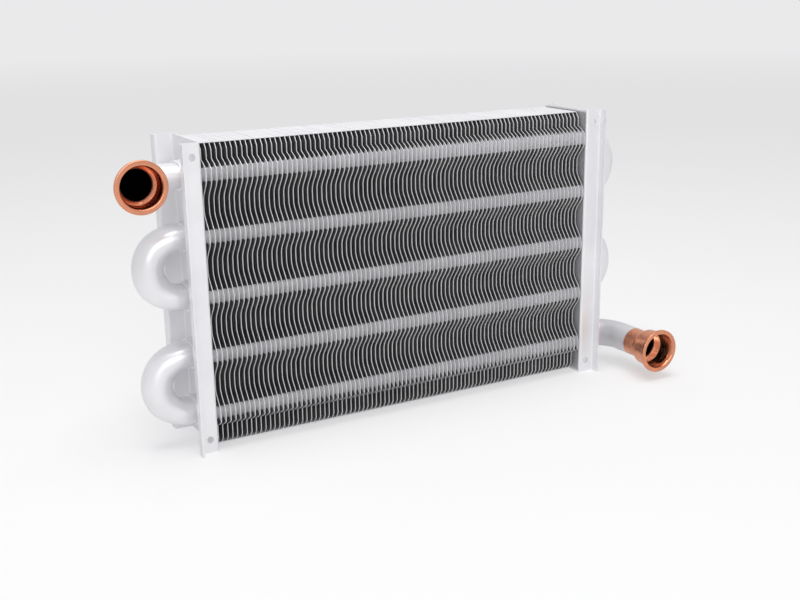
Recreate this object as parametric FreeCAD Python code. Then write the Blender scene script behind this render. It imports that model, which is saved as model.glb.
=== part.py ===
# Boiler heat exchanger: five finned water tubes in series between two side plates.
# X runs along the tubes, the front of the unit looks towards -Y, and Z is up.
# The origin is the centre of the four screw holes, on the front face of the front flanges.
# All sizes are in millimetres.

import FreeCAD
import Part
import math
import os

from FreeCAD import Vector

# Side plates
plate_height = 180.0
plate_gap = 262.0
plate_depth = 46.5
sheet = 1.0
fold_radius = 1.2
flange_width = 12.0
lip_width = 6.5
screw_hole_radius = 2.1
screw_hole_from_web = 5.2
screw_hole_from_end = 8.0
neck_height = 7.5
neck_wall = 1.2
neck_flare = 4.0

# Water tubes, oval inside the fin pack
tube_count = 5
tube_from_end = 20.4
tube_wall = 0.8
tube_half_depth = 10.6
tube_half_height = 6.9
tube_centre_y = 21.0

# Fins, an eighth wider apart than the real ones to keep the facets few
fin_pitch = 3.4
fin_thickness = 0.4
fin_end_gap = 3.2
fin_short_of_plate = 1.4
fin_rear_y = 46.0
fin_tip_y = -1.0
fin_valley_y = 7.4
fin_end_y = 7.6
fin_bulge_lift = 1.2

# Round pipes outside the plates; all pipes have flat sides and straight steps to keep the facets few
pipe_radius = 9.0
pipe_sides = 12
quarter_steps = 4
flatness = 1e-6
bend_centre_out = 11.0
bend_round_from = 0.6
inlet_out = 35.7
inlet_bend_radius = 16.3
inlet_straight = 1.2
outlet_out = 36.0
outlet_bend_radius = 22.0
outlet_straight = 23.5

# Solder sockets at the ends of the inlet and outlet pipes
connection_radius = 9.4
socket_sides = 24
socket_bore_radius = 11.1
socket_wall = 0.9
inlet_socket_depth = 9.5
inlet_socket_taper = 1.0
outlet_socket_depth = 11.5
outlet_socket_taper = 4.0
shoulder_set_back = 1.0
rim_radius = 14.6
rim_width = 2.2

# Turbulator strips inside the tubes
strip_thickness = 0.5
strip_waves = 4
strip_short_of_end = 6.0

# Sizes that follow from the ones above
web_inner_x = plate_gap / 2
web_outer_x = web_inner_x + sheet
tube_end_x = web_outer_x + neck_height
tube_pitch = (plate_height - 2 * tube_from_end) / (tube_count - 1)
bend_radius = tube_pitch / 2
fin_half_height = plate_height / 2 - fin_short_of_plate
fin_end_z = fin_half_height - fin_thickness
fin_count = int((plate_gap - 2 * fin_end_gap) / fin_pitch) + 1
first_fin_x = -fin_pitch * (fin_count - 1) / 2


def tube_z(number):
    """Height of a tube's centre line; tube 1 is the topmost."""
    return ((tube_count + 1) / 2 - number) * tube_pitch


def folded_strip(points, thickness, radius):
    """Face of a sheet of even thickness folded along a centre line in the XY plane."""
    sides = []
    for offset in (thickness / 2, -thickness / 2):
        edges = []
        heading = (points[1] - points[0]).normalize()
        start = points[0] + Vector(-heading.y, heading.x, 0) * offset
        for corner, after in zip(points[1:-1], points[2:]):
            turned = (after - corner).normalize()
            turn = heading.x * turned.y - heading.y * turned.x
            normal_in = Vector(-heading.y, heading.x, 0)
            normal_out = Vector(-turned.y, turned.x, 0)
            centre = corner - heading * radius + normal_in * math.copysign(radius, turn)
            reach = radius - math.copysign(offset, turn * offset)
            fold_start = corner - heading * radius + normal_in * offset
            fold_end = corner + turned * radius + normal_out * offset
            fold_middle = centre + (corner - centre).normalize() * reach
            edges.append(Part.makeLine(start, fold_start))
            edges.append(Part.Arc(fold_start, fold_middle, fold_end).toShape())
            start = fold_end
            heading = turned
        finish = points[-1] + Vector(-heading.y, heading.x, 0) * offset
        edges.append(Part.makeLine(start, finish))
        sides.append(edges)
    left, right = sides
    near_end = Part.makeLine(left[0].Vertexes[0].Point, right[0].Vertexes[0].Point)
    far_end = Part.makeLine(left[-1].Vertexes[-1].Point, right[-1].Vertexes[-1].Point)
    return Part.Face(Part.Wire(Part.__sortEdges__(left + right + [near_end, far_end])))


def pipe_section(centre, up, half_depth, half_height, depth=Vector(0, 1, 0)):
    """Corners round a pipe, which is flat above and below where it is deeper than it is high."""
    flat = half_depth - half_height
    corner = half_height / math.cos(math.pi / pipe_sides)
    points = []
    for side in range(pipe_sides):
        angle = 2 * math.pi * (side + 0.5) / pipe_sides
        forward = corner * math.cos(angle) + math.copysign(flat, math.cos(angle))
        points.append(centre + depth * forward + up * (corner * math.sin(angle)))
    return points


def flat_face(points):
    """Flat face inside a closed row of corners."""
    return Part.Face(Part.makePolygon(points + [points[0]]))


def side_faces(near_start, near_end, far_end, far_start):
    """Flat face between two sections, or two of them where its corners are out of one plane."""
    normal = (near_end - near_start).cross(far_end - near_start).normalize()
    if abs(normal.dot(far_start - near_start)) < flatness:
        return [flat_face([near_start, near_end, far_end, far_start])]
    return [flat_face([near_start, near_end, far_end]), flat_face([near_start, far_end, far_start])]


def solid_through(sections):
    """Solid with flat sides through a row of sections that have the same number of corners."""
    faces = [flat_face(sections[0]), flat_face(sections[-1])]
    for near, far in zip(sections, sections[1:]):
        for corner in range(-1, len(near) - 1):
            faces += side_faces(near[corner], near[corner + 1], far[corner + 1], far[corner])
    shell = Part.Shell(faces)
    shell.sewShape()
    solid = Part.Solid(shell)
    if solid.Volume < 0:
        solid.reverse()
    return solid


def oval_length(x_from, x_to, z, from_half, to_half):
    """Solid between two ovals on one tube line; each half is a pair of half sizes."""
    up = Vector(0, 0, 1)
    start = pipe_section(Vector(x_from, tube_centre_y, z), up, *from_half)
    end = pipe_section(Vector(x_to, tube_centre_y, z), up, *to_half)
    return solid_through([start, end])


def side_plate():
    """Left side plate: a folded channel with a drawn neck round every tube."""
    middle = web_inner_x + sheet / 2
    flange_edge = web_inner_x + flange_width - sheet / 2
    front = sheet / 2
    rear = plate_depth - sheet / 2
    centre_line = [
        Vector(-flange_edge, sheet - lip_width, 0),
        Vector(-flange_edge, front, 0),
        Vector(-middle, front, 0),
        Vector(-middle, rear, 0),
        Vector(-flange_edge, rear, 0),
        Vector(-flange_edge, plate_depth - sheet + lip_width, 0),
    ]
    section = folded_strip(centre_line, sheet, fold_radius)
    section.translate(Vector(0, 0, -plate_height / 2))
    plate = section.extrude(Vector(0, 0, plate_height))
    tube_half = (tube_half_depth, tube_half_height)
    rim_half = (tube_half_depth + neck_wall, tube_half_height + neck_wall)
    base_half = (tube_half_depth + neck_flare, tube_half_height + neck_flare)
    waist_x = web_outer_x + neck_height * 0.4
    for number in range(1, tube_count + 1):
        z = tube_z(number)
        flare = oval_length(-web_outer_x + sheet / 2, -waist_x, z, base_half, rim_half)
        collar = oval_length(-waist_x, -tube_end_x, z, rim_half, rim_half)
        plate = plate.fuse([flare, collar])
    for number in range(1, tube_count + 1):
        plate = plate.cut(oval_length(0, -tube_end_x - 1, tube_z(number), tube_half, tube_half))
    hole_x = -web_inner_x - screw_hole_from_web
    hole_z = plate_height / 2 - screw_hole_from_end
    for z in (-hole_z, hole_z):
        start = Vector(hole_x, -sheet, z)
        plate = plate.cut(Part.makeCylinder(screw_hole_radius, 3 * sheet, start, Vector(0, 1, 0)))
    return plate.removeSplitter()


def water_tube(number):
    """Straight oval tube from neck to neck."""
    z = tube_z(number)
    outer_half = (tube_half_depth, tube_half_height)
    inner_half = (tube_half_depth - tube_wall, tube_half_height - tube_wall)
    outside = oval_length(-tube_end_x, tube_end_x, z, outer_half, outer_half)
    inside = oval_length(-tube_end_x, tube_end_x, z, inner_half, inner_half)
    return outside.cut(inside)


def fin_outline():
    """Outline of a fin across the tubes, with a bulge in front of every tube."""
    points = [Vector(0, fin_rear_y, -fin_end_z), Vector(0, fin_end_y, -fin_end_z)]
    for number in range(tube_count, 0, -1):
        bulge_z = tube_z(number) + fin_bulge_lift
        points.append(Vector(0, fin_tip_y, bulge_z))
        if number > 1:
            points.append(Vector(0, fin_valley_y, bulge_z + tube_pitch / 2))
    points.append(Vector(0, fin_end_y, fin_end_z))
    points.append(Vector(0, fin_rear_y, fin_end_z))
    return Part.Wire(Part.makePolygon(points + [points[0]]))


def tube_opening(number):
    """Opening of a fin round a tube, touching it above, below, in front and behind."""
    front = tube_centre_y - tube_half_depth
    rear = tube_centre_y + tube_half_depth
    low = tube_z(number) - tube_half_height
    high = tube_z(number) + tube_half_height
    corners = [Vector(0, front, low), Vector(0, rear, low), Vector(0, rear, high), Vector(0, front, high)]
    return Part.Wire(Part.makePolygon(corners + [corners[0]]))


def fin_pack():
    """All fins, joined by the tabs that each one folds over at its top and bottom."""
    openings = [tube_opening(number) for number in range(1, tube_count + 1)]
    face = Part.Face([fin_outline()] + openings)
    face.translate(Vector(first_fin_x - fin_thickness / 2, 0, 0))
    fin = face.extrude(Vector(fin_thickness, 0, 0))
    fins = []
    for index in range(fin_count):
        copy = fin.copy()
        copy.translate(Vector(fin_pitch * index, 0, 0))
        fins.append(copy)
    tab_length = fin_pitch * (fin_count - 1) + fin_thickness
    tab_depth = fin_rear_y - fin_end_y
    corner_x = first_fin_x - fin_thickness / 2
    tabs = []
    for z in (fin_end_z, -fin_half_height):
        start = Vector(corner_x, fin_end_y, z)
        tabs.append(Part.makeBox(tab_length, tab_depth, fin_thickness, start))
    return tabs[0].fuse(fins + tabs[1:]).removeSplitter()


def half_sizes(roundness, radius):
    """Half depth and half height of a pipe between the tube's oval and a circle of the radius."""
    share = min(max(roundness, 0), 1)
    half_depth = tube_half_depth + (radius - tube_half_depth) * share
    half_height = tube_half_height + (radius - tube_half_height) * share
    return half_depth, half_height


def pipe_solid(sections, inset):
    """Solid through pipe sections; each is a centre, two directions and two half sizes."""
    rows = []
    for centre, up, depth, half_depth, half_height in sections:
        rows.append(pipe_section(centre, up, half_depth - inset, half_height - inset, depth))
    return solid_through(rows)


def return_bend(side, upper):
    """Half-turn pipe that joins a tube to the one below it: oval at its ends, round in the turn."""
    oval = half_sizes(0, pipe_radius)
    depth = Vector(0, 1, 0)
    middle = Vector(side * (web_inner_x + bend_centre_out), tube_centre_y, tube_z(upper) - bend_radius)
    top = Vector(side * tube_end_x, tube_centre_y, tube_z(upper))
    bottom = Vector(side * tube_end_x, tube_centre_y, tube_z(upper + 1))
    sections = [(top, Vector(0, 0, 1), depth, *oval)]
    for step in range(2 * quarter_steps + 1):
        angle = math.pi * step / (2 * quarter_steps)
        outward = Vector(side * math.sin(angle), 0, math.cos(angle))
        to_nearer_end = min(step, 2 * quarter_steps - step) / quarter_steps
        halves = half_sizes(to_nearer_end / bend_round_from, pipe_radius)
        sections.append((middle + outward * bend_radius, outward, depth, *halves))
    sections.append((bottom, Vector(0, 0, -1), depth, *oval))
    return pipe_solid(sections, 0).cut(pipe_solid(sections, tube_wall))


def round_length(x, z, stations):
    """Solid of many sides round a line from front to back; each station is a place and a radius."""
    sections = []
    for y, radius in stations:
        corner = radius / math.cos(math.pi / socket_sides)
        points = []
        for side in range(socket_sides):
            angle = 2 * math.pi * (side + 0.5) / socket_sides
            points.append(Vector(x + corner * math.sin(angle), y, z + corner * math.cos(angle)))
        sections.append(points)
    return solid_through(sections)


def connection_pipe(side, number, out, turn_radius, straight, socket_depth, socket_taper):
    """Pipe that leaves a plate, turns to the front and ends in a solder socket."""
    z = tube_z(number)
    axis_x = side * (web_inner_x + out)
    turn_end_y = tube_centre_y - turn_radius
    shoulder_y = turn_end_y - straight
    socket_end_y = shoulder_y - socket_taper
    rim_y = socket_end_y - socket_depth
    centre = Vector(axis_x - side * turn_radius, turn_end_y, z)
    up = Vector(0, 0, 1)
    oval = half_sizes(0, connection_radius)
    sections = [(Vector(side * tube_end_x, tube_centre_y, z), up, Vector(0, 1, 0), *oval)]
    for step in range(quarter_steps + 1):
        angle = math.pi / 2 * step / quarter_steps
        outward = Vector(side * math.sin(angle), math.cos(angle), 0)
        halves = half_sizes(step / quarter_steps, connection_radius)
        sections.append((centre + outward * turn_radius, up, outward, *halves))
    end = Vector(axis_x, shoulder_y, z)
    sections.append((end, up, Vector(side, 0, 0), connection_radius, connection_radius))
    outer_radius = socket_bore_radius + socket_wall
    middle_radius = connection_radius - tube_wall / 2
    cup = round_length(axis_x, z, [
        (shoulder_y + shoulder_set_back, middle_radius),
        (socket_end_y + shoulder_set_back, outer_radius),
        (rim_y + rim_width / 2, outer_radius),
    ])
    rim = round_length(axis_x, z, [(rim_y + rim_width, rim_radius), (rim_y, rim_radius)])
    shoulder_end = Vector(axis_x, socket_end_y, z)
    inward = Vector(0, 1, 0)
    shoulder = Part.makeCone(socket_bore_radius, middle_radius, socket_taper, shoulder_end, inward)
    bore = Part.makeCylinder(socket_bore_radius, socket_depth, Vector(axis_x, rim_y, z), inward)
    outside = pipe_solid(sections, 0).fuse([cup, rim])
    return outside.cut(pipe_solid(sections, tube_wall)).cut(shoulder).cut(bore).removeSplitter()


def turbulator(number):
    """Wavy strip inside a tube, whose crests rest on the tube's wall above and below."""
    crest = tube_half_height - tube_wall
    strip_half_width = tube_half_depth - tube_half_height
    half_length = tube_end_x - strip_short_of_end
    step = 2 * half_length / (2 * strip_waves)
    slope = math.atan2(2 * crest, step)
    drop = strip_thickness / math.cos(slope)
    upper = []
    lower = []
    for index in range(2 * strip_waves + 1):
        x = -half_length + step * index
        if index % 2:
            upper.append(Vector(x, 0, crest))
            lower.append(Vector(x, 0, crest - drop))
        else:
            upper.append(Vector(x, 0, -crest + drop))
            lower.append(Vector(x, 0, -crest))
    points = upper + lower[::-1]
    face = Part.Face(Part.makePolygon(points + [points[0]]))
    strip = face.extrude(Vector(0, 2 * strip_half_width, 0))
    strip.translate(Vector(0, tube_centre_y - strip_half_width, tube_z(number)))
    return strip


def all_parts():
    """Every piece of the exchanger by its name."""
    left_plate = side_plate()
    parts = {
        "left_side_plate": left_plate,
        "right_side_plate": left_plate.mirror(Vector(0, 0, 0), Vector(1, 0, 0)),
        "fin_pack": fin_pack(),
        "inlet_pipe": connection_pipe(-1, 1, inlet_out, inlet_bend_radius, inlet_straight,
                                      inlet_socket_depth, inlet_socket_taper),
        "outlet_pipe": connection_pipe(1, tube_count, outlet_out, outlet_bend_radius, outlet_straight,
                                       outlet_socket_depth, outlet_socket_taper),
    }
    for number in range(1, tube_count + 1):
        parts[f"tube_{number}"] = water_tube(number)
        parts[f"turbulator_{number}"] = turbulator(number)
    for upper in range(1, tube_count):
        side = 1 if upper % 2 else -1
        parts[f"return_bend_{upper}_{upper + 1}"] = return_bend(side, upper)
    return parts


os.makedirs("parts", exist_ok=True)
for name, shape in all_parts().items():
    shape.exportStep(f"parts/{name}.step")
    print(name, shape.isValid(), len(shape.Solids), round(shape.Volume, 1))
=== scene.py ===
# %% [markdown]
# # A boiler heat exchanger, dressed over its CAD solids
# The real unit is a pack of thin copper fins on five oval water tubes. Two folded side plates
# hold it, return bends join the tubes in series, and everything but the two solder sockets is
# sprayed with silver heat-resistant paint. The CAD model gives every place and size. This script
# adds the smooth pipes, the curved fins, the paint and the copper, then the light and the camera.

import bmesh
import bpy
import math
from mathutils import Matrix, Vector
from mathutils.geometry import tessellate_polygon


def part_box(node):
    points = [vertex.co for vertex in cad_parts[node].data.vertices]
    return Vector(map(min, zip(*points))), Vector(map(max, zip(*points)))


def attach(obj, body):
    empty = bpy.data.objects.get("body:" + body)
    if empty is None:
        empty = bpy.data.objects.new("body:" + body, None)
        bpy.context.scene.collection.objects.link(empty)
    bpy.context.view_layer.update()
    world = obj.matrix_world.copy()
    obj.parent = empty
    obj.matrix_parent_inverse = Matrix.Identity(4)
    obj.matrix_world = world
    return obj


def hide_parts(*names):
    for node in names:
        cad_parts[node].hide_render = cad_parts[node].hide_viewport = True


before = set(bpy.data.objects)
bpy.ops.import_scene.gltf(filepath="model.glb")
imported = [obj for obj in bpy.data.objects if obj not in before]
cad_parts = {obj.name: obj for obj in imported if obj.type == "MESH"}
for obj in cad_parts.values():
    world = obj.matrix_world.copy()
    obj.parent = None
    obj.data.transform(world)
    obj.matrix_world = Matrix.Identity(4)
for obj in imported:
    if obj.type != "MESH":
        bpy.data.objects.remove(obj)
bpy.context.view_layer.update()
MM = 0.001
print("CAD pieces:", len(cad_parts))

# %% [markdown]
# ## Sizes
# What the frame already holds is read from it: the places of the plates and the tubes come from
# their boxes. Only what a box can't tell, such as the thickness of a sheet, is written as a value.

# %% Sizes read from the frame and sizes of the real sheet and tube
TUBES = [f"tube_{number}" for number in range(1, 6)]
left_low, left_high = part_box("left_side_plate")
fins_low, fins_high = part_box("fin_pack")
tube_low, tube_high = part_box("tube_1")
TUBE_Z = [sum(corner[2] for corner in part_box(name)) / 2 for name in TUBES]
TUBE_Y = (tube_low.y + tube_high.y) / 2
TUBE_HALF_DEPTH = (tube_high.y - tube_low.y) / 2
TUBE_HALF_HEIGHT = (tube_high.z - tube_low.z) / 2
TUBE_END = tube_high.x
PITCH = TUBE_Z[0] - TUBE_Z[1]
WALL = 0.8 * MM
SHEET = 1.0 * MM
PLATE_TOP = left_high.z
WEB = -left_high.x
FLANGE_EDGE = -left_low.x
print("tube pitch", round(PITCH / MM, 2), "web at", round(WEB / MM, 2))

# %% [markdown]
# ## Helpers for meshes
# A finished piece keeps its object at the origin, with its place in its mesh. It could be shaped by
# hand in Edit Mode, but points written as numbers keep the real sizes. `add_piece` turns points and
# faces into such an object, smooths it, and says which body it rides on and which CAD nodes it
# stands for. Each number in `changes` is the first face of the next material, for a piece that
# carries more than one.

# %% Helpers that make a mesh and an object
MERGE = 1e-6


def new_mesh(name, points, faces):
    mesh = bpy.data.meshes.new(name)
    mesh.from_pydata([tuple(point) for point in points], [], faces)
    return mesh


def close_seams(mesh):
    editable = bmesh.new()
    editable.from_mesh(mesh)
    bmesh.ops.remove_doubles(editable, verts=editable.verts, dist=MERGE)
    bmesh.ops.recalc_face_normals(editable, faces=editable.faces)
    editable.to_mesh(mesh)
    editable.free()


def new_object(name, data):
    made = bpy.data.objects.new(name, data)
    bpy.context.scene.collection.objects.link(made)
    return made


# %% Helpers that finish a piece
SHARP_FROM = math.radians(35)


def finish_piece(name, mesh, replaced=()):
    close_seams(mesh)
    mesh.shade_smooth()
    mesh.set_sharp_from_angle(angle=SHARP_FROM)
    piece = new_object(name, mesh)
    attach(piece, "root")
    if replaced:
        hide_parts(*replaced)
    print(name, "has", len(mesh.polygons), "faces")


def add_piece(name, points, faces, slot, replaced=(), changes=()):
    mesh = new_mesh(name, points, faces)
    for place, first_face in enumerate(changes):
        for face in list(mesh.polygons)[first_face:]:
            face.material_index = place + 1
    finish_piece(name, mesh, replaced)


# %% [markdown]
# ## Pipes
# A pipe is a row of closed rings with a wall. A curve with a bevel would be quicker, but it keeps
# one section from end to end, and these pipes change from oval at the neck to round in the turn.
# So each ring has a centre, two directions and two half sizes. The rings run out along the outer
# wall and back along the inner one, and the last joins the first, so the wall is closed.

# %% Rings and pipes
RING = 48


def oval(steps, half_depth, half_height):
    flat = half_depth - half_height
    rows = []
    for index in range(steps):
        angle = 2 * math.pi * (index + 0.5) / steps
        forward = half_height * math.cos(angle) + math.copysign(flat, math.cos(angle))
        rows.append((forward, half_height * math.sin(angle)))
    return rows


def ring(centre, depth, up, half_depth, half_height):
    rows = oval(RING, half_depth, half_height)
    return [centre + depth * forward + up * rise for forward, rise in rows]


def joined_rings(rings, closed):
    points = [point for loop in rings for point in loop]
    faces = []
    last = len(rings) if closed else len(rings) - 1
    for row in range(last):
        near = row * RING
        far = (row + 1) % len(rings) * RING
        for index in range(RING):
            after = (index + 1) % RING
            faces.append((near + index, near + after, far + after, far + index))
    return points, faces


def pipe_wall(stations):
    outer = [ring(*station) for station in stations]
    inner = []
    for centre, depth, up, half_depth, half_height in reversed(stations):
        inner.append(ring(centre, depth, up, half_depth - WALL, half_height - WALL))
    return joined_rings(outer + inner, True)


# %% [markdown]
# ### Straight water tubes
# Each tube is round copper tube pressed oval, so that the flue gas slips past it. The fins and
# their tongues hide most of it. It keeps one section from neck to neck, so two rings are enough.

# %% Water tubes
DEPTH = Vector((0, 1, 0))
UP = Vector((0, 0, 1))
for name, z in zip(TUBES, TUBE_Z):
    stations = []
    for x in (-TUBE_END, TUBE_END):
        stations.append((Vector((x, TUBE_Y, z)), DEPTH, UP, TUBE_HALF_DEPTH, TUBE_HALF_HEIGHT))
    add_piece(f"{name}_oval", *pipe_wall(stations), "tubes", [name])

# %% [markdown]
# ### Return bends
# Each bend is a short half turn brazed to the ends of two tubes. Its ends are pressed oval to fit
# the necks and its middle is still round, which gives the soft shoulders near the plate. A bent
# cylinder would lose those shoulders, so a smooth step of the angle blends the two sections.

# %% Return bends
PIPE = 9.0 * MM
BEND_OUT = WEB + 11.0 * MM
BEND_STEPS = 48
OVAL_UNTIL = 0.06
ROUND_FROM = 0.34


def smooth_step(low, high, value):
    share = min(max((value - low) / (high - low), 0.0), 1.0)
    return share * share * (3 - 2 * share)


def part_round(radius, roundness):
    half_depth = TUBE_HALF_DEPTH + (radius - TUBE_HALF_DEPTH) * roundness
    half_height = TUBE_HALF_HEIGHT + (radius - TUBE_HALF_HEIGHT) * roundness
    return half_depth, half_height


def return_bend(side, upper):
    top = TUBE_Z[upper]
    bottom = TUBE_Z[upper + 1]
    middle = Vector((side * BEND_OUT, TUBE_Y, (top + bottom) / 2))
    stations = [(Vector((side * TUBE_END, TUBE_Y, top)), DEPTH, UP, *part_round(PIPE, 0))]
    for step in range(BEND_STEPS + 1):
        share = step / BEND_STEPS
        outward = Vector((side * math.sin(math.pi * share), 0, math.cos(math.pi * share)))
        section = part_round(PIPE, smooth_step(OVAL_UNTIL, ROUND_FROM, min(share, 1 - share)))
        stations.append((middle + outward * PITCH / 2, DEPTH, outward, *section))
    stations.append((Vector((side * TUBE_END, TUBE_Y, bottom)), DEPTH, -UP, *part_round(PIPE, 0)))
    return pipe_wall(stations)


for upper in range(4):
    side = 1 if upper % 2 == 0 else -1
    node = f"return_bend_{upper + 1}_{upper + 2}"
    add_piece(f"{node}_smooth", *return_bend(side, upper), "return_bends", [node])

# %% [markdown]
# ### Inlet and outlet pipes
# These two pipes carry on from the first and the last tube, turn to the front and end in a cup
# for a soldered joint. The cup is the pipe's own end, opened out on a mandrel, with a flat rim.
# It could be turned as a piece of its own, but then a seam would show where it meets the elbow.
# So the section of its wall is a line of corners, each a place along Y, a radius and a rounding,
# and every point of the line becomes one more ring. The outside, the cup's inside and the deep
# pipe behind it are three stretches of that line, because each takes a finish of its own.

# %% The section of a socket
CONNECTION = 9.4 * MM
BORE = 11.1 * MM
MOUTH = 11.9 * MM
CUP = 12.0 * MM
RIM = 14.6 * MM
RIM_WIDTH = 2.2 * MM
SET_BACK = 1.0 * MM
ROUND_STEPS = 6


def rounded_line(corners):
    rows = [Vector(corners[0][:2])]
    for before, corner, after in zip(corners, corners[1:], corners[2:]):
        here = Vector(corner[:2])
        start = here + (Vector(before[:2]) - here).normalized() * corner[2]
        finish = here + (Vector(after[:2]) - here).normalized() * corner[2]
        for step in range(ROUND_STEPS + 1):
            share = step / ROUND_STEPS
            rows.append(start * (1 - share) ** 2 + here * 2 * share * (1 - share) + finish * share ** 2)
    return rows + [Vector(corners[-1][:2])]


def socket_line(shoulder_y, cup_y, rim_y):
    outside = [
        (shoulder_y + SET_BACK + 0.6 * MM, CONNECTION, 0),
        (shoulder_y + SET_BACK, CONNECTION, 0.5 * MM),
        (cup_y + SET_BACK, CUP, 0.8 * MM),
        (rim_y + RIM_WIDTH, CUP, 0.5 * MM),
        (rim_y + RIM_WIDTH, RIM, 0.8 * MM),
        (rim_y, RIM, 0.6 * MM),
        (rim_y, MOUTH, 0.5 * MM),
        (rim_y + 0.9 * MM, MOUTH - 0.4 * MM, 0),
    ]
    inside = [
        (rim_y + 1.0 * MM, MOUTH - 0.45 * MM, 0),
        (rim_y + 2.6 * MM, BORE, 0.8 * MM),
        (cup_y, BORE, 0.3 * MM),
        (shoulder_y + 0.1 * MM, CONNECTION - 0.1 * MM, 0),
    ]
    deep = [
        (shoulder_y + 0.15 * MM, CONNECTION - 0.15 * MM, 0),
        (shoulder_y + 0.3 * MM, CONNECTION - WALL, 0.4 * MM),
        (shoulder_y + SET_BACK + 0.6 * MM, CONNECTION - WALL, 0),
    ]
    return rounded_line(outside), rounded_line(inside), rounded_line(deep)


# %% Inlet and outlet pipes
ELBOW_STEPS = 24
INLET_TURN = 16.3 * MM
INLET_SHOULDER = 10.5 * MM
INLET_CUP = 9.5 * MM
INLET_ROUNDING = (0.25, 0.95)
OUTLET_TURN = 22.0 * MM
OUTLET_SHOULDER = 15.5 * MM
OUTLET_CUP = 11.5 * MM
OUTLET_ROUNDING = (0.0, 0.5)


def connection_pipe(side, z, axis_x, turn, socket_y, rounding):
    middle = Vector((axis_x - side * turn, TUBE_Y - turn, z))
    neck = Vector((side * TUBE_END, TUBE_Y, z))
    outer = [ring(neck, DEPTH, UP, TUBE_HALF_DEPTH, TUBE_HALF_HEIGHT)]
    inner = [ring(neck, DEPTH, UP, TUBE_HALF_DEPTH - WALL, TUBE_HALF_HEIGHT - WALL)]
    for step in range(ELBOW_STEPS + 1):
        angle = math.pi / 2 * step / ELBOW_STEPS
        outward = Vector((side * math.sin(angle), math.cos(angle), 0))
        roundness = smooth_step(*rounding, step / ELBOW_STEPS)
        half_depth, half_height = part_round(CONNECTION, roundness)
        centre = middle + outward * turn
        outer.append(ring(centre, outward, UP, half_depth, half_height))
        inner.append(ring(centre, outward, UP, half_depth - WALL, half_height - WALL))
    changes = []
    for line in socket_line(*socket_y):
        for y, radius in line:
            outer.append(ring(Vector((axis_x, y, z)), Vector((side, 0, 0)), UP, radius, radius))
        changes.append((len(outer) - 1) * RING)
    points, faces = joined_rings(outer + inner[::-1], True)
    return points, faces, changes[:2]


inlet_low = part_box("inlet_pipe")[0]
outlet_low, outlet_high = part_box("outlet_pipe")
inlet_rim, outlet_rim = inlet_low.y, outlet_low.y
inlet_socket = (inlet_rim + INLET_SHOULDER, inlet_rim + INLET_CUP, inlet_rim)
outlet_socket = (outlet_rim + OUTLET_SHOULDER, outlet_rim + OUTLET_CUP, outlet_rim)
connections = {
    "inlet_pipe": connection_pipe(
        -1, TUBE_Z[0], inlet_low.x + RIM, INLET_TURN, inlet_socket, INLET_ROUNDING),
    "outlet_pipe": connection_pipe(
        1, TUBE_Z[4], outlet_high.x - RIM, OUTLET_TURN, outlet_socket, OUTLET_ROUNDING),
}
for node, (points, faces, changes) in connections.items():
    add_piece(f"{node}_smooth", points, faces, "connection_pipes", [node], changes)

# %% [markdown]
# ## Side plates
# Each plate is one folded sheet. It could be a row of joined boxes, but the folds would be missing.
# So its section is a line with four folds, thickened by the sheet and pushed up to the plate's
# height. At each fold the inner and the outer side turn on the same centre with different radii.
# Round holes for the screws and oval ones for the tubes are then cut with booleans, which keep the
# sheet's true thickness.

# %% The folded section
FOLD = 1.2 * MM
FOLD_STEPS = 8


def folded_outline(corners, thickness, radius):
    sides = []
    for offset in (thickness / 2, -thickness / 2):
        heading = (corners[1] - corners[0]).normalized()
        row = [corners[0] + Vector((-heading.y, heading.x)) * offset]
        for corner, after in zip(corners[1:-1], corners[2:]):
            turned = (after - corner).normalized()
            turn = math.copysign(1, heading.x * turned.y - heading.y * turned.x)
            centre = corner - heading * radius + Vector((-heading.y, heading.x)) * radius * turn
            reach = radius - offset * turn
            start = math.atan2(-heading.x * turn, heading.y * turn)
            for step in range(FOLD_STEPS + 1):
                angle = start + turn * math.pi / 2 * step / FOLD_STEPS
                row.append(centre + Vector((math.cos(angle), math.sin(angle))) * reach)
            heading = turned
        row.append(corners[-1] + Vector((-heading.y, heading.x)) * offset)
        sides.append(row)
    return sides[0] + sides[1][::-1]


def upright(outline, low, high):
    count = len(outline)
    points = [Vector((point.x, point.y, low)) for point in outline]
    points += [Vector((point.x, point.y, high)) for point in outline]
    faces = [tuple(range(count)), tuple(range(2 * count - 1, count - 1, -1))]
    for index in range(count):
        after = (index + 1) % count
        faces.append((index, after, count + after, count + index))
    return points, faces


# %% Helpers that cut holes
def solid_rod(rings):
    points, faces = joined_rings(rings, False)
    count = len(points)
    return points, faces + [tuple(range(RING)), tuple(range(count - RING, count))]


def rough_solid(name, points, faces):
    mesh = new_mesh(name, points, faces)
    close_seams(mesh)
    return new_object(name, mesh)


def cut_mesh(name, body, tools):
    for tool in tools:
        boolean = body.modifiers.new("cut", "BOOLEAN")
        boolean.operation = "DIFFERENCE"
        boolean.solver = "EXACT"
        boolean.object = tool
    evaluated = body.evaluated_get(bpy.context.evaluated_depsgraph_get())
    mesh = bpy.data.meshes.new_from_object(evaluated)
    mesh.name = name
    for used in [body, *tools]:
        bpy.data.objects.remove(used)
    return mesh


# %% Side plates
LIP = 5.5 * MM
PLATE_DEPTH = 46.5 * MM
SCREW = 2.1 * MM
SCREW_FROM_WEB = 5.2 * MM
SCREW_FROM_END = 8.0 * MM


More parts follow.
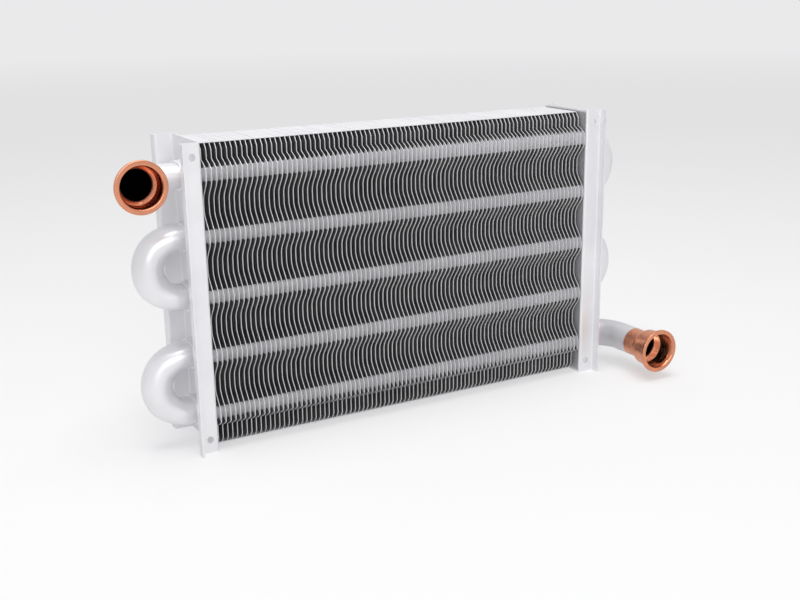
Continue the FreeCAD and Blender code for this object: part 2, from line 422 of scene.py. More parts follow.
def side_plate(side, node):
    web = side * (WEB + SHEET / 2)
    edge = side * (FLANGE_EDGE - SHEET / 2)
    front = SHEET / 2
    rear = PLATE_DEPTH - SHEET / 2
    fold_line = [Vector((edge, -LIP)), Vector((edge, front)), Vector((web, front)),
                 Vector((web, rear)), Vector((edge, rear)), Vector((edge, PLATE_DEPTH + LIP))]
    section = folded_outline(fold_line, SHEET, FOLD)
    body = rough_solid("plate_blank", *upright(section, -PLATE_TOP, PLATE_TOP))
    tools = []
    for z in TUBE_Z:
        rods = []
        for x in (WEB - SHEET, WEB + 2 * SHEET):
            centre = Vector((side * x, TUBE_Y, z))
            rods.append(ring(centre, DEPTH, UP, TUBE_HALF_DEPTH, TUBE_HALF_HEIGHT))
        tools.append(rough_solid("tube_hole", *solid_rod(rods)))
    for z in (PLATE_TOP - SCREW_FROM_END, SCREW_FROM_END - PLATE_TOP):
        x = side * (WEB + SCREW_FROM_WEB)
        rods = []
        for y in (-SHEET, 2 * SHEET):
            rods.append(ring(Vector((x, y, z)), Vector((1, 0, 0)), UP, SCREW, SCREW))
        tools.append(rough_solid("screw_hole", *solid_rod(rods)))
    mesh = cut_mesh(f"{node}_folded", body, tools)
    finish_piece(f"{node}_folded", mesh, [node])


for side, node in ((-1, "left_side_plate"), (1, "right_side_plate")):
    side_plate(side, node)

# %% [markdown]
# ### Necks
# The sheet is drawn outward round every tube into a flared neck, which holds the brazed joint. A
# Screw modifier could turn its section, but only round and never oval. So rings follow a quarter
# round from the web up to the collar. The neck's inner wall lies on the tube, and its foot is sunk
# a little in the web, so no seam shows.

# %% Necks round the tubes
NECK_WALL = 1.2 * MM
NECK_FLARE = 4.2 * MM
NECK_PLAY = 0.02 * MM
NECK_EDGE = 0.3 * MM
NECK_STEPS = 10


def neck_shape(side, z):
    rings = []

    def add(x, grown):
        centre = Vector((side * x, TUBE_Y, z))
        rings.append(ring(centre, DEPTH, UP, TUBE_HALF_DEPTH + grown, TUBE_HALF_HEIGHT + grown))

    foot = WEB + SHEET * 0.5
    add(foot, NECK_PLAY)
    add(foot, NECK_FLARE + NECK_WALL)
    for step in range(NECK_STEPS + 1):
        angle = math.pi / 2 * step / NECK_STEPS
        out = WEB + SHEET + NECK_FLARE * (1 - math.cos(angle))
        add(out, NECK_WALL + NECK_FLARE * (1 - math.sin(angle)))
    add(TUBE_END - NECK_EDGE, NECK_WALL)
    add(TUBE_END, NECK_WALL - NECK_EDGE)
    add(TUBE_END, NECK_PLAY)
    return joined_rings(rings, True)


for side, side_name in ((-1, "left"), (1, "right")):
    points = []
    faces = []
    for z in TUBE_Z:
        neck_points, neck_faces = neck_shape(side, z)
        offset = len(points)
        points += neck_points
        faces += [tuple(index + offset for index in face) for face in neck_faces]
    add_piece(f"{side_name}_plate_necks", points, faces, "side_plates")

# %% [markdown]
# ## Fin pack
# The fins give the exchanger its look. Every fin is the same stamping: it bulges in front of each
# tube, its ends are folded over as tabs that reach the next fin, and a tongue folded out of each
# bulge closes the gap in front of the tube. Paint is sprayed on from outside and covers the edges
# and the tabs. The tongues get a darker mix and the deep faces a near-black colour, both painted
# shade for the gaps between the fins.

# %% The fin's sizes
FIN_SHEET = 0.34 * MM
FIN_PITCH = 3.0 * MM
FIN_REAR = fins_high.y
FIN_TOP = fins_high.z
FIN_TIP = fins_low.y
FIN_VALLEY = 6.2 * MM
FIN_END = 8.6 * MM
PAINT_DEPTH = 0.7 * MM
TONGUE_LIFT = 2.2 * MM
TONGUE_HALF = 3.7 * MM
TONGUE_Y = 1.7 * MM
TONGUE_LEAN = 1.6 * MM
print("fin", round((FIN_REAR - FIN_TIP) / MM, 1), "mm deep and", round(2 * FIN_TOP / MM, 1), "high")

# %% [markdown]
# ### The front edge
# The edge could be drawn as a curve, but its bulges repeat with the tubes, so it is a row of points
# from a formula, with a few more points at both ends. The painted strip behind it is a row of faces
# of its own, so the paint has a crisp border. That strip is wider where a tongue is folded out.

# %% The front edge and the painted strip behind it
BULGE_LIFT = 1.5 * MM
BULGE_FLAT = 1.2 * MM
BULGE_RUN = 14.5 * MM
END_BULGE = 2.4 * MM
END_SLOPE = ((0.2 * MM, 4.3 * MM), (2.9 * MM, 6.3 * MM))
END_VALLEY = 8.6 * MM
END_TURN = 3.8 * MM
END_LIP = 0.6 * MM
EDGE_STEPS = 9
BORDER = 0.1 * MM


def bulge(distance):
    return FIN_TIP + (FIN_VALLEY - FIN_TIP) * smooth_step(BULGE_FLAT, BULGE_RUN, abs(distance))


def end_edge(bulge_z, top, side):
    rows = [(FIN_TIP + back, bulge_z + side * rise) for back, rise in END_SLOPE]
    rows.append((FIN_VALLEY, bulge_z + side * END_VALLEY))
    rows.append((FIN_VALLEY, top - side * END_TURN))
    rows.append((FIN_END, top - side * END_LIP))
    rows.append((FIN_END, top))
    return rows


def front_edge():
    rows = end_edge(TUBE_Z[4] + BULGE_LIFT, -FIN_TOP, -1)[::-1]
    borders = []
    for z in TUBE_Z:
        for height in (TONGUE_HALF - BORDER, TONGUE_HALF + BORDER):
            borders += [z + TONGUE_LIFT - height, z + TONGUE_LIFT + height]
    half = PITCH / 2
    for z in reversed(TUBE_Z):
        centre = z + BULGE_LIFT
        low = centre - (END_BULGE if z == TUBE_Z[4] else half)
        high = centre + (END_BULGE if z == TUBE_Z[0] else half)
        heights = [centre + half * step / EDGE_STEPS for step in range(-EDGE_STEPS, EDGE_STEPS)]
        for height in sorted(heights + borders):
            if low <= height < high:
                rows.append((bulge(height - centre), height))
    return rows + end_edge(TUBE_Z[0] + BULGE_LIFT, FIN_TOP, 1)


def tongue_y(share):
    return TONGUE_Y + TONGUE_LEAN * share * share


def paint_line(edge):
    rows = []
    for y, z in edge:
        inner = y + PAINT_DEPTH
        for tube_z in TUBE_Z:
            share = (z - tube_z - TONGUE_LIFT) / TONGUE_HALF
            if abs(share) < 1:
                inner = max(inner, tongue_y(share) + FIN_SHEET)
        rows.append((inner, z))
    return rows


# %% [markdown]
# ### Tabs and tongues
# Both are short strips of the fin's own sheet that stop just short of the next fin, so a fine dark
# line is left between neighbours. They could be boxes, but the tongue is a little convex, and its
# upper half catches the light from above, which gives the bright band in front of every tube. So
# each strip is an outline pushed sideways. Those of the first fin end in the left plate's sheet.

# %% Tabs and tongues
TAB_GAP = 0.25 * MM
TAB_REAR = FIN_REAR - 1.2 * MM
TONGUE_STEPS = 6
# The tongues get this share of the paint colour, the rest near black: painted shade from the fins round
# them.
TONGUE_SHADED_PAINT = 0.36


def tab_outline(low):
    high = low + FIN_SHEET
    return [(FIN_END, low), (TAB_REAR, low), (TAB_REAR, high), (FIN_END, high)]


def tongue_outline(centre):
    front = []
    for step in range(TONGUE_STEPS + 1):
        share = 2 * step / TONGUE_STEPS - 1
        front.append((tongue_y(share), centre + TONGUE_HALF * share))
    return front + [(y + FIN_SHEET, z) for y, z in front[::-1]]


def add_strip(editable, painted_layer, outline, painted):
    ends = []
    for x in (-FIN_SHEET / 2, TAB_GAP - FIN_PITCH):
        ends.append([editable.verts.new((x, y, z)) for y, z in outline])
    near, far = ends
    faces = [near, far[::-1]]
    for index in range(len(near)):
        after = (index + 1) % len(near)
        faces.append([near[index], far[index], far[after], near[after]])
    for face in faces:
        editable.faces.new(face)[painted_layer] = painted


# %% [markdown]
# ### One fin
# A Solidify modifier and five booleans would make the fin too, but with many more faces, and it is
# repeated 87 times. So it is built with bmesh: each outline point gets a vertex on both faces of
# the sheet, triangles fill the plate round its five oval openings, and narrow faces close the
# sheet's edges. A face layer called `painted` is 1 on the painted edges and tabs, a share on the
# tongues and 0 on the deep faces; the lower values give painted shade.

# %% One fin
HOLE_STEPS = 24


def fin_loops(edge):
    rear = FIN_REAR - PAINT_DEPTH
    outline = [(rear, -FIN_TOP)] + paint_line(edge) + [(rear, FIN_TOP)]
    opening = oval(HOLE_STEPS, TUBE_HALF_DEPTH, TUBE_HALF_HEIGHT)
    holes = []
    for tube_z in TUBE_Z:
        holes.append([(TUBE_Y + forward, tube_z + rise) for forward, rise in opening])
    return outline, holes


def fin_mesh():
    editable = bmesh.new()
    painted_layer = editable.faces.layers.float.new("painted")

    def corners(rows):
        pairs = []
        for y, z in rows:
            pairs.append([editable.verts.new((x, y, z)) for x in (-FIN_SHEET / 2, FIN_SHEET / 2)])
        return pairs

    def add_face(points, painted):
        editable.faces.new(points)[painted_layer] = painted

    def join_rows(first, second, painted):
        for side in (0, 1):
            for index in range(len(first) - 1):
                add_face([first[index][side], first[index + 1][side],
                          second[index + 1][side], second[index][side]], painted)

    def close_edge(row, painted, closed=False):
        for index in range(-1 if closed else 0, len(row) - 1):
            add_face([row[index][0], row[index][1], row[index + 1][1], row[index + 1][0]], painted)

    edge = front_edge()
    outline, holes = fin_loops(edge)
    front = corners(edge)
    plate = corners(outline)
    rear = corners([(FIN_REAR, -FIN_TOP), (FIN_REAR, FIN_TOP)])
    openings = [corners(hole) for hole in holes]
    every = plate + [corner for opening in openings for corner in opening]
    flat_loops = [[Vector((y, z, 0)) for y, z in loop] for loop in [outline] + holes]
    for triangle in tessellate_polygon(flat_loops):
        for side in (0, 1):
            add_face([every[index][side] for index in triangle], 0.0)
    join_rows(front, plate[1:-1], 1.0)
    join_rows([plate[0], plate[-1]], rear, 1.0)
    for opening in openings:
        close_edge(opening, 0.0, closed=True)
    close_edge(front, 1.0)
    close_edge(rear, 1.0)
    close_edge([front[0], plate[1], plate[0], rear[0]], 1.0)
    close_edge([front[-1], plate[-2], plate[-1], rear[-1]], 1.0)
    for tab_z in (-FIN_TOP, FIN_TOP - FIN_SHEET):
        add_strip(editable, painted_layer, tab_outline(tab_z), 1.0)
    for tube_z in TUBE_Z:
        add_strip(editable, painted_layer, tongue_outline(tube_z + TONGUE_LIFT), TONGUE_SHADED_PAINT)
    bmesh.ops.recalc_face_normals(editable, faces=editable.faces)
    mesh = bpy.data.meshes.new("fin")
    editable.to_mesh(mesh)
    editable.free()
    return mesh


# %% [markdown]
# ### Repeating the fin with Geometry Nodes
# An Array modifier would repeat the fin as well, but all copies would be alike. The tree below has
# named inputs, so the pack can be restacked without touching the drawing. A mesh line gives one
# point for each fin, the fin is instanced there, and each instance gets a small turn and a shade
# value of its own. The instances are then made real, because an export drops instances.

# %% Helpers for nodes
def add_node(tree, kind, **settings):
    node = tree.nodes.new(kind)
    for name, value in settings.items():
        setattr(node, name, value)
    return node


def math_node(tree, operation, first, second):
    node = add_node(tree, "ShaderNodeMath", operation=operation)
    for socket, value in zip(node.inputs, (first, second)):
        if isinstance(value, (int, float)):
            socket.default_value = value
        else:
            tree.links.new(value, socket)
    return node.outputs[0]


def random_node(tree, kind, low, high, seed):
    node = add_node(tree, "FunctionNodeRandomValue", data_type=kind)
    sockets = [socket for socket in node.inputs if socket.enabled]
    sockets[0].default_value = low
    sockets[1].default_value = high
    node.inputs["Seed"].default_value = seed
    return next(socket for socket in node.outputs if socket.enabled)


# %% The node tree that stacks the fins
LEAN_SEED = 7
SHADE_SEED = 11


def stacking_tree():
    tree = bpy.data.node_groups.new("stack_fins", "GeometryNodeTree")
    sockets = tree.interface
    for name, kind in (("Fin", "NodeSocketGeometry"), ("Count", "NodeSocketInt"),
                       ("Pitch", "NodeSocketFloat"), ("Lean", "NodeSocketFloat"),
                       ("Shift", "NodeSocketFloat"), ("Finish", "NodeSocketMaterial")):
        sockets.new_socket(name, in_out="INPUT", socket_type=kind)
    sockets.new_socket("Pack", in_out="OUTPUT", socket_type="NodeSocketGeometry")
    link = tree.links.new
    entry = add_node(tree, "NodeGroupInput")
    leave = add_node(tree, "NodeGroupOutput")
    spans = math_node(tree, "SUBTRACT", entry.outputs["Count"], 1)
    length = math_node(tree, "MULTIPLY", spans, entry.outputs["Pitch"])
    centred = math_node(tree, "MULTIPLY", length, -0.5)
    start = add_node(tree, "ShaderNodeCombineXYZ")
    link(math_node(tree, "ADD", centred, entry.outputs["Shift"]), start.inputs["X"])
    step = add_node(tree, "ShaderNodeCombineXYZ")
    link(entry.outputs["Pitch"], step.inputs["X"])
    line = add_node(tree, "GeometryNodeMeshLine", mode="OFFSET")
    link(entry.outputs["Count"], line.inputs["Count"])
    link(start.outputs[0], line.inputs["Start Location"])
    link(step.outputs[0], line.inputs["Offset"])
    placed = add_node(tree, "GeometryNodeInstanceOnPoints")
    link(line.outputs[0], placed.inputs["Points"])
    link(entry.outputs["Fin"], placed.inputs["Instance"])
    lean = add_node(tree, "ShaderNodeVectorMath", operation="SCALE")
    link(random_node(tree, "FLOAT_VECTOR", (0, -1, -1), (0, 1, 1), LEAN_SEED), lean.inputs[0])
    link(entry.outputs["Lean"], lean.inputs["Scale"])
    link(lean.outputs[0], placed.inputs["Rotation"])
    shade = add_node(tree, "GeometryNodeStoreNamedAttribute", data_type="FLOAT", domain="INSTANCE")
    shade.inputs["Name"].default_value = "fin_shade"
    link(placed.outputs[0], shade.inputs["Geometry"])
    link(random_node(tree, "FLOAT", 0.0, 1.0, SHADE_SEED), shade.inputs["Value"])
    real = add_node(tree, "GeometryNodeRealizeInstances")
    link(shade.outputs[0], real.inputs[0])
    finish = add_node(tree, "GeometryNodeSetMaterial")
    link(real.outputs[0], finish.inputs["Geometry"])
    link(entry.outputs["Finish"], finish.inputs["Material"])
    link(finish.outputs[0], leave.inputs["Pack"])
    return tree


# %% [markdown]
# ## Finishes
# Two effects are used by more than one material, so each is a node group that puts out colours
# and values: sprayed silver paint, and bare copper with its tarnish. Pictures could give the same
# marks, but noise on Object coordinates needs no UV map and keeps one scale on every piece. Each
# material places the group with its own values and keeps its own Principled shader.

# %% Helpers for node groups
def new_group(name, inputs, outputs):
    tree = bpy.data.node_groups.new(name, "ShaderNodeTree")
    for label, kind, value in inputs:
        socket = tree.interface.new_socket(label, in_out="INPUT", socket_type=kind)
        if value is not None:
            socket.default_value = value
    for label, kind in outputs:
        tree.interface.new_socket(label, in_out="OUTPUT", socket_type=kind)
    return tree, add_node(tree, "NodeGroupInput"), add_node(tree, "NodeGroupOutput")


def noise(tree, position, scale, detail, roughness=0.5):
    node = add_node(tree, "ShaderNodeTexNoise")
    tree.links.new(position, node.inputs["Vector"])
    node.inputs["Scale"].default_value = scale
    node.inputs["Detail"].default_value = detail
    node.inputs["Roughness"].default_value = roughness
    return node.outputs["Fac"]


def spread(tree, value, from_low, from_high, to_low, to_high):
    node = add_node(tree, "ShaderNodeMapRange")
    tree.links.new(value, node.inputs["Value"])
    for label, number in (("From Min", from_low), ("From Max", from_high),
                          ("To Min", to_low), ("To Max", to_high)):
        node.inputs[label].default_value = number
    return node.outputs[0]


def mixed(tree, share, first, second, kind="RGBA"):
    node = add_node(tree, "ShaderNodeMix", data_type=kind)
    sockets = [socket for socket in node.inputs if socket.enabled]
    for socket, value in zip(sockets, (share, first, second)):
        if isinstance(value, (int, float, tuple)):
            socket.default_value = value
        else:
            tree.links.new(value, socket)
    return next(socket for socket in node.outputs if socket.enabled)


# %% [markdown]
# ### Sprayed silver paint
# Aluminium paint dries as fine bright flakes in a slightly pebbled film. Fine noise gives the
# flakes and a broad one the uneven spray, which shows as a faint change of tone and of gloss.

# %% The paint group
THIN_SPRAY = (0.47, 0.47, 0.49, 1)
FLAKE = (1, 1, 1, 1)
SURFACE = [("Color", "NodeSocketColor"), ("Roughness", "NodeSocketFloat"),
           ("Height", "NodeSocketFloat")]


def paint_group():
    tree, entry, leave = new_group(
        "sprayed_silver",
        [("Position", "NodeSocketVector", None), ("Tone", "NodeSocketColor", (0.8, 0.8, 0.8, 1)),
         ("Gloss", "NodeSocketFloat", 0.4)], SURFACE)
    position = entry.outputs["Position"]
    flakes = noise(tree, position, 2600, 2, 0.6)
    cloud = noise(tree, position, 38, 3)
    pebbles = noise(tree, position, 900, 3, 0.55)
    darker = mixed(tree, 0.12, entry.outputs["Tone"], THIN_SPRAY)
    toned = mixed(tree, spread(tree, cloud, 0.35, 0.65, 0.0, 1.0), darker, entry.outputs["Tone"])
    flaked = mixed(tree, spread(tree, flakes, 0.5, 0.75, 0.0, 0.16), toned, FLAKE)
    tree.links.new(flaked, leave.inputs["Color"])
    uneven = spread(tree, cloud, 0.3, 0.7, -0.05, 0.05)
    tree.links.new(math_node(tree, "ADD", entry.outputs["Gloss"], uneven), leave.inputs["Roughness"])
    grains = math_node(tree, "MULTIPLY", flakes, 0.3)
    tree.links.new(math_node(tree, "ADD", pebbles, grains), leave.inputs["Height"])
    return tree


PAINT = paint_group()
print("group", PAINT.name, "puts out", [label for label, kind in SURFACE])

# %% [markdown]
# ### Bare copper
# New copper is bright orange, dulled by handling and darker and redder where the torch heated it.
# Broad noise mixes the bright and the dull tone, and stretched fine noise gives drawing marks.

# %% The copper group
BRIGHT_COPPER = (0.72, 0.30, 0.175, 1)
DULL_COPPER = (0.52, 0.23, 0.15, 1)
BURNT_COPPER = (0.30, 0.11, 0.07, 1)


def copper_group():
    tree, entry, leave = new_group(
        "bare_copper",
        [("Position", "NodeSocketVector", None), ("Tarnish", "NodeSocketFloat", 0.4)], SURFACE)
    position = entry.outputs["Position"]
    blotches = noise(tree, position, 160, 4, 0.6)
    stains = noise(tree, position, 420, 3, 0.6)
    stretch = add_node(tree, "ShaderNodeMapping")
    stretch.inputs["Scale"].default_value = (1, 0.08, 1)
    tree.links.new(position, stretch.inputs["Vector"])
    marks = noise(tree, stretch.outputs[0], 1800, 2)
    tarnish = entry.outputs["Tarnish"]
    dulled = math_node(tree, "MULTIPLY", spread(tree, blotches, 0.38, 0.66, 0.0, 1.0), tarnish)
    base = mixed(tree, dulled, BRIGHT_COPPER, DULL_COPPER)
    spots = math_node(tree, "MULTIPLY", spread(tree, stains, 0.6, 0.72, 0.0, 0.7), tarnish)
    tree.links.new(mixed(tree, spots, base, BURNT_COPPER), leave.inputs["Color"])
    worn = spread(tree, blotches, 0.3, 0.7, 0.16, 0.34)
    rough = math_node(tree, "ADD", worn, math_node(tree, "MULTIPLY", spots, 0.2))
    tree.links.new(rough, leave.inputs["Roughness"])
    tree.links.new(math_node(tree, "ADD", marks, stains), leave.inputs["Height"])
    return tree


COPPER = copper_group()
print("group", COPPER.name, "puts out", [label for label, kind in SURFACE])

# %% [markdown]
# ### Painted materials
# Painted pieces share one builder with their own tone and gloss, and two of them change the colour
# further. The plates' faces that look at the fins are mixed half-way to a dark grey: partly thin
# spray, partly painted shade for the gap between web and fins. The fins each have a tone of their
# own, and their `painted` layer colours the deep faces near black: painted shade for the dark gaps
# between the fins. A mask painted by hand would do as well, but this one follows the shapes.

# %% Helpers for materials
def new_material(name):
    material = bpy.data.materials.new(name)
    material.use_nodes = True
    tree = material.node_tree
    shader = tree.nodes["Principled BSDF"]
    place = add_node(tree, "ShaderNodeTexCoord").outputs["Object"]
    return material, tree, shader, place


def use_group(tree, group, position, **values):
    node = add_node(tree, "ShaderNodeGroup", node_tree=group)
    tree.links.new(position, node.inputs["Position"])
    for name, value in values.items():
        node.inputs[name].default_value = value
    return node


def add_bump(tree, shader, height, strength, distance):
    bump = add_node(tree, "ShaderNodeBump")
    bump.inputs["Strength"].default_value = strength
    bump.inputs["Distance"].default_value = distance
    tree.links.new(height, bump.inputs["Height"])
    tree.links.new(bump.outputs[0], shader.inputs["Normal"])


# %% Painted materials
SHADED_DIM_PAINT = (0.16, 0.16, 0.17, 1)
FIN_SHADE = (0.5, 0.5, 0.52, 1)
DEEP_SHADE_DARK = (0.10, 0.10, 0.105, 1)
DEEP_SHADE_PALE = (0.17, 0.165, 0.165, 1)
PAINT_RELIEF = 0.25
PAINT_FILM = 0.06 * MM


# Painted shade: the web faces that look at the fins are mixed half-way to a dark grey, partly for thin
# spray and partly for the shade between web and fins.
def thin_paint_and_shade_at_fins(tree, place, color):
    split = add_node(tree, "ShaderNodeSeparateXYZ")
    tree.links.new(place, split.inputs[0])
    reach = math_node(tree, "ABSOLUTE", split.outputs["X"], 0)
    height = math_node(tree, "ABSOLUTE", split.outputs["Z"], 0)
    inner = math_node(tree, "LESS_THAN", reach, WEB + 0.1 * MM)
    inner = math_node(tree, "MULTIPLY", inner, math_node(tree, "LESS_THAN", height, FIN_TOP))
    return mixed(tree, math_node(tree, "MULTIPLY", inner, 0.5), color, SHADED_DIM_PAINT)


# Painted shade: faces whose `painted` value is low take a near-black colour for the shade in the deep
# gaps between fins; noise varies that dark tone.
def shaded_when_deep(tree, place, color):
    shade = add_node(tree, "ShaderNodeAttribute", attribute_name="fin_shade")
    amount = spread(tree, shade.outputs["Fac"], 0.0, 1.0, 0.0, 0.15)
    color = mixed(tree, amount, color, FIN_SHADE)
    paint_and_shade_mask = add_node(tree, "ShaderNodeAttribute", attribute_name="painted")
    deep_shade_mix = spread(tree, noise(tree, place, 140, 3), 0.35, 0.65, 0.0, 1.0)
    return mixed(tree, paint_and_shade_mask.outputs["Fac"], mixed(tree, deep_shade_mix, DEEP_SHADE_DARK, DEEP_SHADE_PALE), color)


def painted(name, tone, gloss, metallic, change=None):
    material, tree, shader, place = new_material(name)
    paint = use_group(tree, PAINT, place, Tone=(*tone, 1), Gloss=gloss)
    color = paint.outputs["Color"]
    if change:
        color = change(tree, place, color)
    tree.links.new(color, shader.inputs["Base Color"])
    tree.links.new(paint.outputs["Roughness"], shader.inputs["Roughness"])
    shader.inputs["Metallic"].default_value = metallic
    add_bump(tree, shader, paint.outputs["Height"], PAINT_RELIEF, PAINT_FILM)
    return material


plate_paint = painted("plate_paint", (0.86, 0.86, 0.88), 0.38, 0.35, thin_paint_and_shade_at_fins)
bend_paint = painted("bend_paint", (0.84, 0.84, 0.86), 0.33, 0.4)
fin_paint = painted("fin_paint", (0.84, 0.84, 0.86), 0.42, 0.2, shaded_when_deep)
# The tubes' silver paint is given a dark grey tone: painted shade deep in the fin pack.
tube_paint = painted("tube_paint", (0.30, 0.30, 0.31), 0.36, 0.4)
print("paints", [paint.name for paint in (plate_paint, bend_paint, fin_paint, tube_paint)])

# %% [markdown]
# ### Copper and half-painted materials
# The connection pipes are masked before spraying, so they are bare at the socket and painted
# behind a slightly ragged line. Their material mixes both groups with a mask along the
# front-to-back axis; the outlet's paint is a darker grey than the inlet's, as painted shade. The
# inlet cup's inside mixes in a redder copper, the outlet cup's a pale copper as a painted highlight,
# and the pipe behind them is nearly black: painted shade deep inside the pipe.

# %% Copper and half-painted materials
RAGGED = 0.3 * MM
MASK_EDGE = 0.4 * MM
INLET_BARE = 11.0 * MM
OUTLET_BARE = 26.0 * MM
RED_COPPER = (0.70, 0.24, 0.12, 1)
PALE_HIGHLIGHT_COPPER = (1.0, 0.70, 0.54, 1)
SCALE = (0.03, 0.01, 0.008, 1)


def connection_material(name, masked_y, tone):
    material, tree, shader, place = new_material(name)
    paint = use_group(tree, PAINT, place, Tone=(*tone, 1), Gloss=0.36)
    copper = use_group(tree, COPPER, place, Tarnish=0.55)
    split = add_node(tree, "ShaderNodeSeparateXYZ")
    tree.links.new(place, split.inputs[0])
    ragged = spread(tree, noise(tree, place, 500, 3), 0.3, 0.7, -RAGGED, RAGGED)
    line = math_node(tree, "ADD", split.outputs["Y"], ragged)
    mask = spread(tree, line, masked_y - MASK_EDGE, masked_y + MASK_EDGE, 0.0, 1.0)
    color = mixed(tree, mask, copper.outputs["Color"], paint.outputs["Color"])
    rough = mixed(tree, mask, copper.outputs["Roughness"], paint.outputs["Roughness"], "FLOAT")
    height = mixed(tree, mask, copper.outputs["Height"], paint.outputs["Height"], "FLOAT")
    tree.links.new(color, shader.inputs["Base Color"])
    tree.links.new(rough, shader.inputs["Roughness"])
    tree.links.new(spread(tree, mask, 0.0, 1.0, 1.0, 0.4), shader.inputs["Metallic"])
    add_bump(tree, shader, height, PAINT_RELIEF, PAINT_FILM)
    return material


def copper_material(name, tarnish, tint=(1, 1, 1, 1), share=0.0, relief=0.2):
    material, tree, shader, place = new_material(name)
    copper = use_group(tree, COPPER, place, Tarnish=tarnish)
    tree.links.new(mixed(tree, share, copper.outputs["Color"], tint), shader.inputs["Base Color"])
    tree.links.new(copper.outputs["Roughness"], shader.inputs["Roughness"])
    shader.inputs["Metallic"].default_value = 1.0
    add_bump(tree, shader, copper.outputs["Height"], relief, 0.05 * MM)
    return material


strip_copper = copper_material("strip_copper", 0.8)
inlet_cup = copper_material("inlet_cup_copper", 1.0, RED_COPPER, 0.5, relief=0.04)
# The outlet cup's inside is mixed toward pale copper: a painted highlight.
outlet_cup_highlight = copper_material("outlet_cup_copper", 0.2, PALE_HIGHLIGHT_COPPER, 0.7, relief=0.04)
# The deep pipe behind the cups is coloured nearly black: painted shade inside the pipe.
deep_copper = copper_material("deep_copper", 1.0, SCALE, 0.9)
inlet_finish = connection_material(
    "inlet_pipe_finish", inlet_rim + INLET_BARE, (0.86, 0.86, 0.88))
# The outlet's paint tone is darker than the inlet's: painted shade.
outlet_finish = connection_material(
    "outlet_pipe_finish", outlet_rim + OUTLET_BARE, (0.68, 0.68, 0.70))
print("materials so far", len(bpy.data.materials))

# %% [markdown]
# ### The pack and its dressing
# The tree's inputs are set by the sockets' identifiers, and its result is kept as a plain mesh.
# Then every piece gets the materials whose key is a part of its name, so a new piece of the same
# kind is dressed too. The turbulator strips inside the tubes are CAD solids as they are.

# %% Stack the fins
FIN_COUNT = 87
FIN_SHIFT = -0.1 * MM
FIN_LEAN = 0.0015


def stacked_fins():
    base = new_object("fin_pack_folded", fin_mesh())
    tree = stacking_tree()
    modifier = base.modifiers.new("stack", "NODES")
    modifier.node_group = tree
    values = {"Count": FIN_COUNT, "Pitch": FIN_PITCH, "Lean": FIN_LEAN,
              "Shift": FIN_SHIFT, "Finish": fin_paint}
    for item in tree.interface.items_tree:
        if item.in_out == "INPUT" and item.name in values:
            modifier[item.identifier] = values[item.name]
    evaluated = base.evaluated_get(bpy.context.evaluated_depsgraph_get())
    mesh = bpy.data.meshes.new_from_object(evaluated)
    bpy.data.objects.remove(base)
    piece = new_object("fin_pack_folded", mesh)
    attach(piece, "root")
    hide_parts("fin_pack")
    triangles = sum(len(face.vertices) - 2 for face in mesh.polygons)
    print("fins", FIN_COUNT, "triangles", triangles)


stacked_fins()

# %% Dress every piece
FINISHES = {
    "_side_plate": [plate_paint], "_plate_necks": [plate_paint], "return_bend": [bend_paint],
    "tube_": [tube_paint], "turbulator": [strip_copper],
    "inlet_pipe": [inlet_finish, inlet_cup, deep_copper],
    "outlet_pipe": [outlet_finish, outlet_cup_highlight, deep_copper],
    "fin_pack": [fin_paint],
}


def dress(piece):
    for part_of_name, materials in FINISHES.items():
        if part_of_name in piece.name and not piece.data.materials:
            for material in materials:
                piece.data.materials.append(material)


dressed = [piece for piece in bpy.data.objects if piece.type == "MESH"]
for piece in dressed:
    dress(piece)
print("dressed", len(dressed), "objects, the hidden CAD nodes among them")

# %% [markdown]
# ## Floor, light and camera
# The unit stands on a plain white table in soft light from above and from the front. Stronger
# lamps would whiten the table, but they would burn out the paint. So where the camera or a
# reflection sees the floor directly, it has a darker colour and glows, which looks as white as in a
# bright studio and still takes the unit's shadow. The glow grows with the distance, as the lamps
# reach the far floor less. All other light sees a plain white floor.

# %% Colours and rays of the backdrop
def grey(level, blue=1.0):
    return (level, level, level * blue, 1)


def seen_directly(tree):
    rays = add_node(tree, "ShaderNodeLightPath")
    seen = math_node(tree, "MAXIMUM", rays.outputs["Is Camera Ray"], rays.outputs["Is Glossy Ray"])
    return math_node(tree, "MAXIMUM", seen, rays.outputs["Is Transmission Ray"])


# %% Floor
FLOOR_HALF = 45.0
FLOOR_WHITE = 0.86
FLOOR_SEEN = 0.52
NEAR_GLOW = 0.44
FAR_GLOW = 0.60
GLOW_FROM = 0.5
GLOW_TO = 4.0


def floor_piece():
    half = FLOOR_HALF
    corners = ((-half, -half), (half, -half), (half, half), (-half, half))
    mesh = new_mesh("floor", [(x, y, -PLATE_TOP) for x, y in corners], [(0, 1, 2, 3)])
    floor = new_object("floor", mesh)
    material, tree, shader, place = new_material("floor_white")
    seen = seen_directly(tree)
    color = mixed(tree, seen, grey(FLOOR_WHITE), grey(FLOOR_SEEN))
    tree.links.new(color, shader.inputs["Base Color"])
    distance = add_node(tree, "ShaderNodeVectorMath", operation="LENGTH")
    tree.links.new(place, distance.inputs[0])
    far = spread(tree, distance.outputs["Value"], GLOW_FROM, GLOW_TO, 0.0, 1.0)
    glow = mixed(tree, far, grey(NEAR_GLOW, 1.01), grey(FAR_GLOW, 1.01))
    tree.links.new(mixed(tree, seen, grey(0), glow), shader.inputs["Emission Color"])
    shader.inputs["Emission Strength"].default_value = 1.0
    shader.inputs["Roughness"].default_value = 0.9
    shader.inputs["Specular IOR Level"].default_value = 0.0
    mesh.materials.append(material)


floor_piece()
print("floor at", round(-PLATE_TOP / MM, 1), "mm")

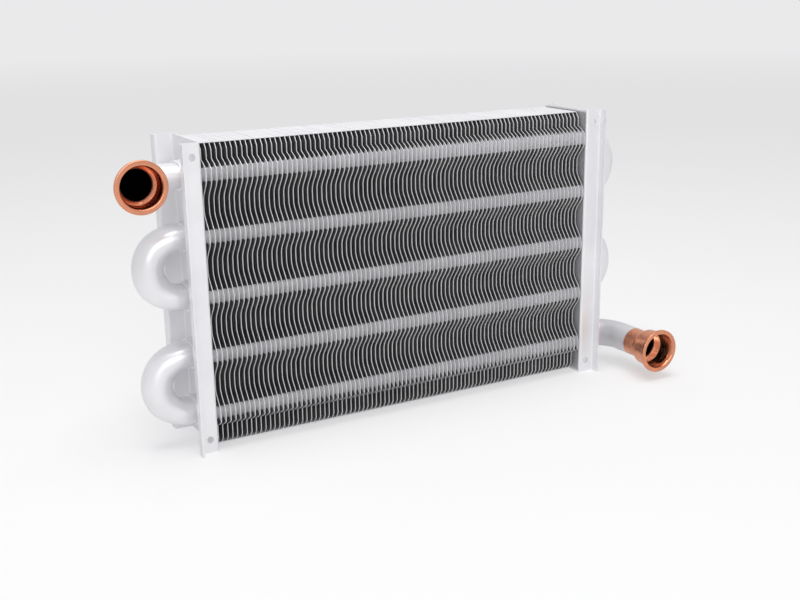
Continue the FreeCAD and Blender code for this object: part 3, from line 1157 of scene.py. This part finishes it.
# %% World and lamps
ROOM_LIGHT = 0.42
ROOM_SEEN = 0.83
world = bpy.data.worlds.new("soft_room")
bpy.context.scene.world = world
world.use_nodes = True
room_tree = world.node_tree
background = room_tree.nodes["Background"]
room = mixed(room_tree, seen_directly(room_tree), grey(ROOM_LIGHT, 1.02), grey(ROOM_SEEN, 1.02))
room_tree.links.new(room, background.inputs["Color"])
background.inputs["Strength"].default_value = 1.0


def area_lamp(name, place, size, power):
    lamp = bpy.data.lights.new(name, "AREA")
    lamp.shape = "SQUARE"
    lamp.size = size
    lamp.energy = power
    holder = new_object(name, lamp)
    holder.location = place
    holder.rotation_euler = (-Vector(place)).to_track_quat("-Z", "Y").to_euler()
    print(name, power, "W")


area_lamp("top_softbox", (-0.1, -0.1, 1.2), 0.8, 9.0)
area_lamp("front_softbox", (-0.5, -1.4, 0.6), 0.8, 8.0)

# %% [markdown]
# ### Camera
# The camera stands where the photo was taken from: in front, to the left and a little above. It
# could be placed by eye, but fitting the plate corners once gave its place and angles exactly.

# %% Camera
CAMERA_PLACE = Vector((-324.6, -573.4, 170.0)) * MM
AZIMUTH = math.radians(28.78)
ELEVATION = math.radians(15.93)
ROLL = math.radians(-0.85)
LENS = 49.68

level = math.cos(ELEVATION)
view = Vector((math.sin(AZIMUTH) * level, math.cos(AZIMUTH) * level, -math.sin(ELEVATION)))
level_right = Vector((math.cos(AZIMUTH), -math.sin(AZIMUTH), 0))
level_up = level_right.cross(view)
right = level_right * math.cos(ROLL) + level_up * math.sin(ROLL)
up = level_up * math.cos(ROLL) - level_right * math.sin(ROLL)
camera_data = bpy.data.cameras.new("photo_camera")
camera_data.lens = LENS
camera_data.sensor_width = 36
camera = new_object("photo_camera", camera_data)
turned = [[right[row], up[row], -view[row], CAMERA_PLACE[row]] for row in range(3)]
camera.matrix_world = Matrix(turned + [[0, 0, 0, 1]])
bpy.context.scene.camera = camera
bpy.context.scene.view_settings.view_transform = "Standard"
print("camera at", [round(value, 3) for value in CAMERA_PLACE], "lens", LENS)
